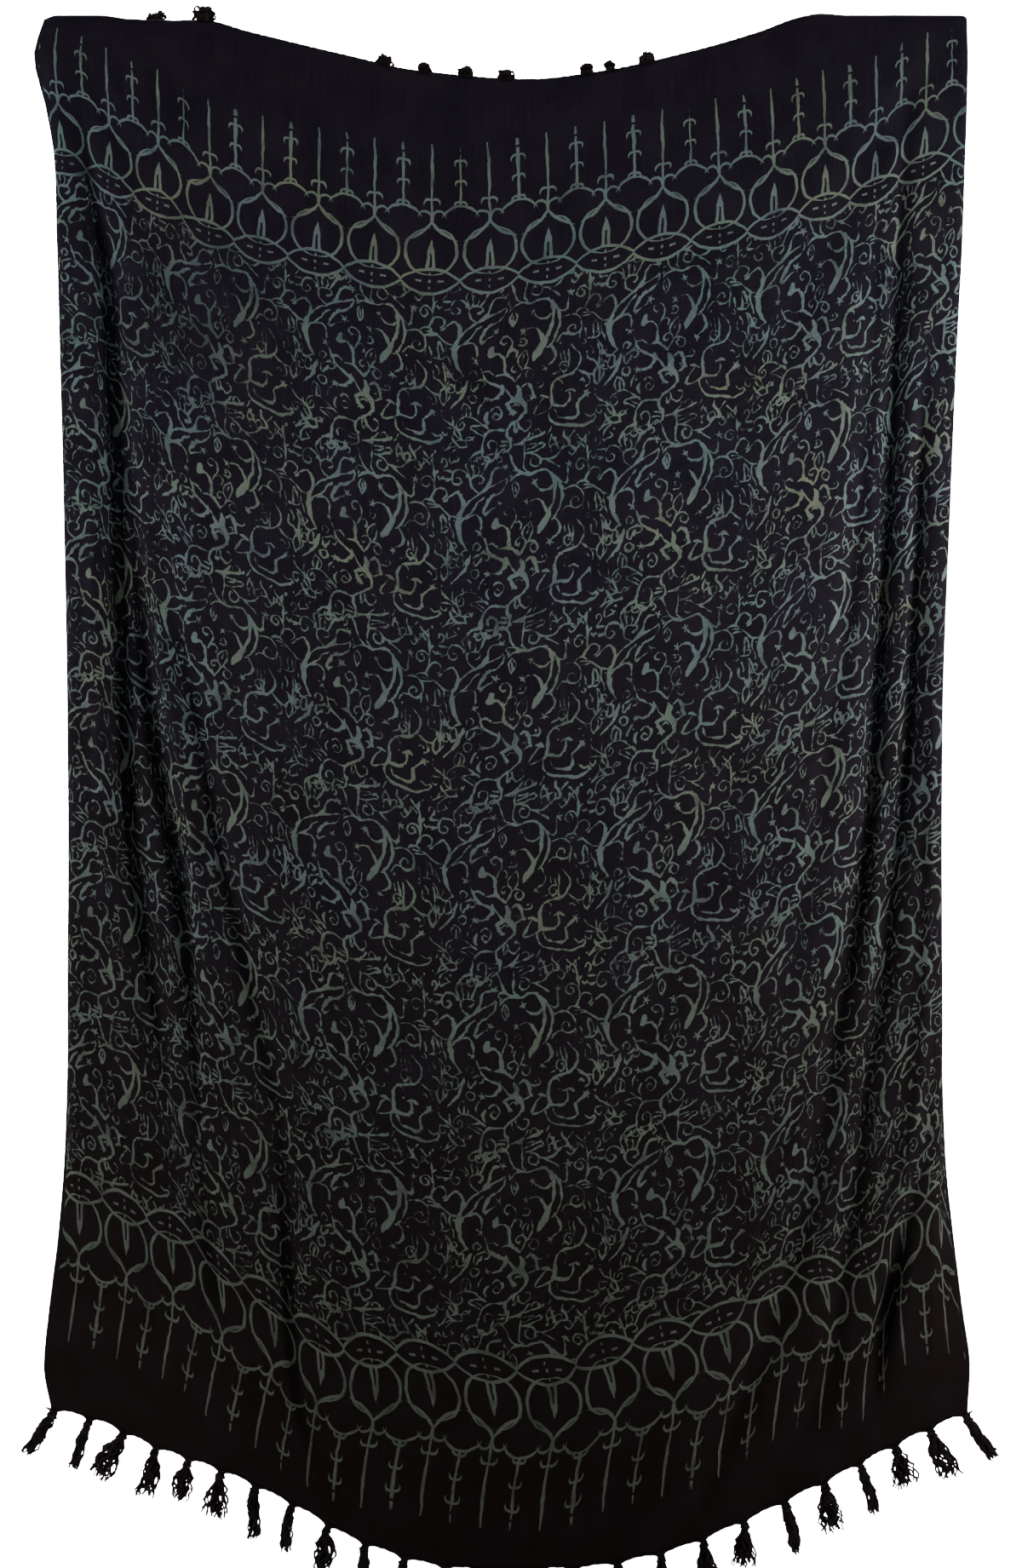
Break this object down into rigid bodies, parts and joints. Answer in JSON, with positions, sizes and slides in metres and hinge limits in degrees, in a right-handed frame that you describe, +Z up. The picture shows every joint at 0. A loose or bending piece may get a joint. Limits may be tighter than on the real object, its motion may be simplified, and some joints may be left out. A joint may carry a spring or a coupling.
{
  "type": "batik sarong",
  "caption": "Thin batik sarong cloth with a border and all-over print and knotted fringe on both short ends, hanging by its two top corners.",
  "frame": {"origin": "on the straight line between the two held top corners, midway between them", "axes": "+Z up, +X to the right of someone who looks at the printed face, +Y away from them"},
  "size_m": [1.0862, 0.0822, 1.7835],
  "materials": {
    "printed_rayon": "thin plain-weave rayon, near-black ground with a grey-green wax-resist print, soft low sheen",
    "fringe_yarn": "twisted and knotted rayon yarn, near black"
  },
  "bodies": {
    "root": {"cloth_panel": "printed_rayon", "fringe_bottom": "fringe_yarn", "fringe_top": "fringe_yarn"}
  },
  "joints": []
}
